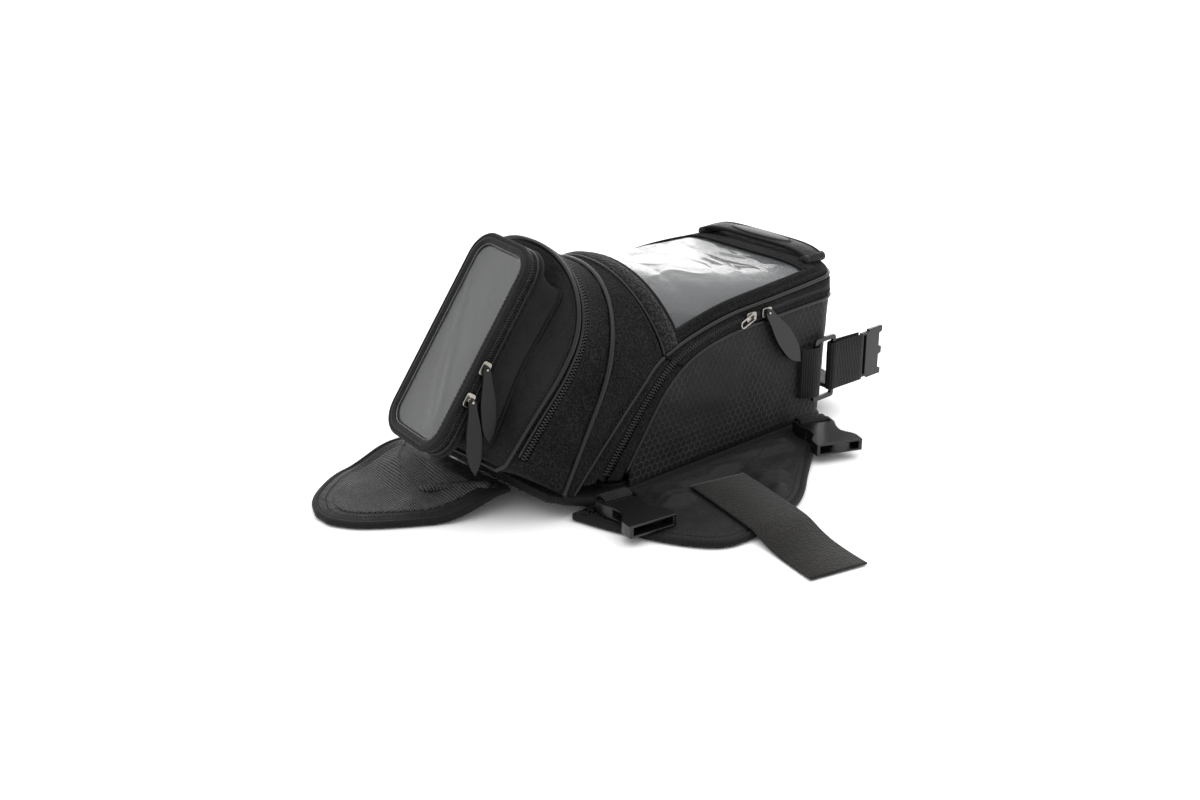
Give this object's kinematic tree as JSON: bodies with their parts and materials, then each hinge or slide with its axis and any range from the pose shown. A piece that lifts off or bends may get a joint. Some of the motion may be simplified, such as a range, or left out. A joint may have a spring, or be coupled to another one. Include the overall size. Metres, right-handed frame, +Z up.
{
  "type": "tank bag",
  "caption": "Soft zipped bag with a see-through map lid, two leaning front pockets, magnet flaps and strap buckles.",
  "frame": {"origin": "on the resting plane, on the bag's middle plane, under the middle of the base panel", "axes": "+Z up, front with the phone pocket and tongue flap towards -Y, right side with the zip sliders +X"},
  "size_m": [0.4656, 0.49, 0.2008],
  "materials": {
    "nylon": "woven polyester oxford, matte black",
    "embossed_nylon": "coated nylon with pressed honeycomb, satin black",
    "binding": "ribbed grosgrain binding, matte black",
    "webbing": "woven polyester webbing, matte black",
    "spacer_mesh": "knitted spacer mesh, matte dark grey",
    "foam": "closed-cell foam pad with fabric backing",
    "board": "polyethylene stiffener sheet",
    "clear_vinyl": "flexible clear vinyl sheet, glossy with creases",
    "acetal": "moulded acetal, semi-matt black",
    "rubber": "moulded soft rubber, matt black",
    "nickel": "nickel-plated zinc, dark bright",
    "magnet": "plated disc magnets"
  },
  "bodies": {
    "shell": {"base_panel": "nylon", "liner_board": "board", "side_panel_right": "embossed_nylon", "side_panel_left": "embossed_nylon", "rear_panel": "nylon", "front_zip_right": "nylon", "front_zip_left": "nylon", "zip_tape_lower": "nylon", "front_yoke": "nylon", "front_bulkhead": "nylon", "arch_pocket_gusset": "nylon", "ring_loop": "webbing", "rear_tab": "nylon"},
    "lid": {"lid_frame": "binding", "lid_window": "clear_vinyl", "map_pocket_back": "nylon", "lid_skirt": "nylon"},
    "handle": {"carry_handle": "nylon"},
    "zip_slider_rear": {"main_slider_rear": "nickel"},
    "zip_slider_front": {"main_slider_front": "nickel"},
    "zip_pull_rear": {"main_pull_rear": "rubber"},
    "zip_pull_front": {"main_pull_loop": "nickel"},
    "arch_door": {"arch_door_panel": "nylon", "phone_bellows": "nylon", "phone_tub": "nylon"},
    "phone_door": {"phone_door_frame": "binding", "phone_window": "clear_vinyl"},
    "phone_zip_upper": {"phone_slider_upper": "nickel"},
    "phone_zip_lower": {"phone_slider_lower": "nickel"},
    "phone_tag_upper": {"phone_pull_upper": "rubber"},
    "phone_tag_lower": {"phone_pull_lower": "rubber"},
    "arch_zip": {"arch_slider": "nickel"},
    "arch_tag": {"arch_pull": "rubber"},
    "tongue": {"tongue_pad": "foam", "tongue_cover": "spacer_mesh", "tongue_magnet_1": "magnet", "tongue_magnet_2": "magnet"},
    "wing_right": {"wing_pad_right": "foam", "wing_cover_right": "nylon", "wing_magnet_right_1": "magnet", "wing_magnet_right_2": "magnet", "wing_magnet_right_3": "magnet"},
    "wing_left": {"wing_pad_left": "foam", "wing_cover_left": "nylon", "wing_magnet_left_1": "magnet", "wing_magnet_left_2": "magnet", "wing_magnet_left_3": "magnet"},
    "hook_strap": {"pull_strap": "webbing"},
    "ring": {"corner_ring": "acetal"},
    "rear_strap_end": {"rear_strap": "webbing", "rear_plug_buckle": "acetal"},
    "buckle_arm_front_right": {"buckle_front_right": "acetal", "buckle_webbing_front_right": "webbing"},
    "buckle_arm_rear_right": {"buckle_rear_right": "acetal", "buckle_webbing_rear_right": "webbing"},
    "buckle_arm_front_left": {"buckle_front_left": "acetal", "buckle_webbing_front_left": "webbing"},
    "buckle_arm_rear_left": {"buckle_rear_left": "acetal", "buckle_webbing_rear_left": "webbing"}
  },
  "joints": [
    {"name": "lid_hinge", "type": "hinge", "parent": "shell", "child": "lid", "pos_m": [0, -0.045, 0.165], "axis": [1, 0, 0], "range_deg": [0, 100]},
    {"name": "handle_lift", "type": "hinge", "parent": "lid", "child": "handle", "pos_m": [0, 0.181, 0.1445], "axis": [-1, 0, 0], "range_deg": [0, 60]},
    {"name": "rear_slider_run", "type": "slide", "parent": "shell", "child": "zip_slider_rear", "axis": [0, 0.9971, 0.0761], "range_m": [-0.045, 0.002]},
    {"name": "front_slider_run", "type": "slide", "parent": "shell", "child": "zip_slider_front", "axis": [0, 0.9971, 0.0761], "range_m": [-0.045, 0.002]},
    {"name": "rear_pull_swing", "type": "hinge", "parent": "zip_slider_rear", "child": "zip_pull_rear", "pos_m": [0.0817, 0.092, 0.11715], "axis": [1, 0, 0], "range_deg": [-68, 0]},
    {"name": "front_pull_swing", "type": "hinge", "parent": "zip_slider_front", "child": "zip_pull_front", "pos_m": [0.0817, 0.074, 0.11715], "axis": [1, 0, 0], "range_deg": [0, 70]},
    {"name": "arch_pocket_open", "type": "hinge", "parent": "shell", "child": "arch_door", "pos_m": [0, -0.16, 0.044], "axis": [1, 0, 0], "range_deg": [0, 45]},
    {"name": "phone_pocket_open", "type": "hinge", "parent": "arch_door", "child": "phone_door", "pos_m": [-0.00608, -0.20077, 0.06199], "axis": [0.9903, -0.1392, 0], "range_deg": [0, 70]},
    {"name": "phone_slider_upper_run", "type": "slide", "parent": "arch_door", "child": "phone_zip_upper", "axis": [0.0768, 0.5466, 0.8339], "range_m": [0, 0.022]},
    {"name": "phone_slider_lower_run", "type": "slide", "parent": "arch_door", "child": "phone_zip_lower", "axis": [0.0768, 0.5466, 0.8339], "range_m": [-0.012, 0]},
    {"name": "phone_tag_upper_swing", "type": "hinge", "parent": "phone_zip_upper", "child": "phone_tag_upper", "pos_m": [0.04227, -0.16285, 0.12202], "axis": [0.9903, -0.1392, 0], "range_deg": [-12, 4]},
    {"name": "phone_tag_lower_swing", "type": "hinge", "parent": "phone_zip_lower", "child": "phone_tag_lower", "pos_m": [0.04278, -0.17713, 0.10075], "axis": [0.9903, -0.1392, 0], "range_deg": [-30, 8]},
    {"name": "arch_slider_run", "type": "slide", "parent": "shell", "child": "arch_zip", "axis": [0, 0.5519, 0.8339], "range_m": [0, 0.012]},
    {"name": "arch_tag_swing", "type": "hinge", "parent": "arch_zip", "child": "arch_tag", "pos_m": [-0.0777, -0.1187, 0.0886], "axis": [1, 0, 0], "range_deg": [-25, 1]},
    {"name": "tongue_fold", "type": "hinge", "parent": "shell", "child": "tongue", "pos_m": [0, -0.141, 0.0185], "axis": [1, 0, 0], "range_deg": [-20, 45]},
    {"name": "wing_right_fold", "type": "hinge", "parent": "shell", "child": "wing_right", "pos_m": [0.0795, 0, 0.0005], "axis": [0, 1, 0], "range_deg": [0, 60]},
    {"name": "wing_left_fold", "type": "hinge", "parent": "shell", "child": "wing_left", "pos_m": [-0.0795, 0, 0.0005], "axis": [0, -1, 0], "range_deg": [0, 60]},
    {"name": "hook_strap_lift", "type": "hinge", "parent": "wing_right", "child": "hook_strap", "pos_m": [0.115, 0.004, 0.0085], "axis": [-0.225, -0.9744, 0], "range_deg": [0, 80]},
    {"name": "buckle_lift_front_right", "type": "hinge", "parent": "shell", "child": "buckle_arm_front_right", "pos_m": [0.0856, -0.08467, 0.0096], "axis": [-0.1564, -0.9877, 0], "range_deg": [0, 50]},
    {"name": "buckle_lift_rear_right", "type": "hinge", "parent": "shell", "child": "buckle_arm_rear_right", "pos_m": [0.08662, 0.13918, 0.0096], "axis": [-0.3746, -0.9272, 0], "range_deg": [0, 30]},
    {"name": "buckle_lift_front_left", "type": "hinge", "parent": "shell", "child": "buckle_arm_front_left", "pos_m": [-0.0856, -0.08467, 0.0096], "axis": [-0.1564, 0.9877, 0], "range_deg": [0, 50]},
    {"name": "buckle_lift_rear_left", "type": "hinge", "parent": "shell", "child": "buckle_arm_rear_left", "pos_m": [-0.08662, 0.13918, 0.0096], "axis": [-0.3746, 0.9272, 0], "range_deg": [0, 50]},
    {"name": "ring_swing", "type": "hinge", "parent": "shell", "child": "ring", "pos_m": [0.083, 0.1519, 0.052], "axis": [0, 0, -1], "range_deg": [0, 40]},
    {"name": "rear_strap_swing", "type": "hinge", "parent": "ring", "child": "rear_strap_end", "pos_m": [0.083, 0.1741, 0.052], "axis": [0, 0, -1], "range_deg": [-15, 45]}
  ],
  "couplings": [
    {"joint": "front_slider_run", "follows": "rear_slider_run", "ratio": 1}
  ]
}
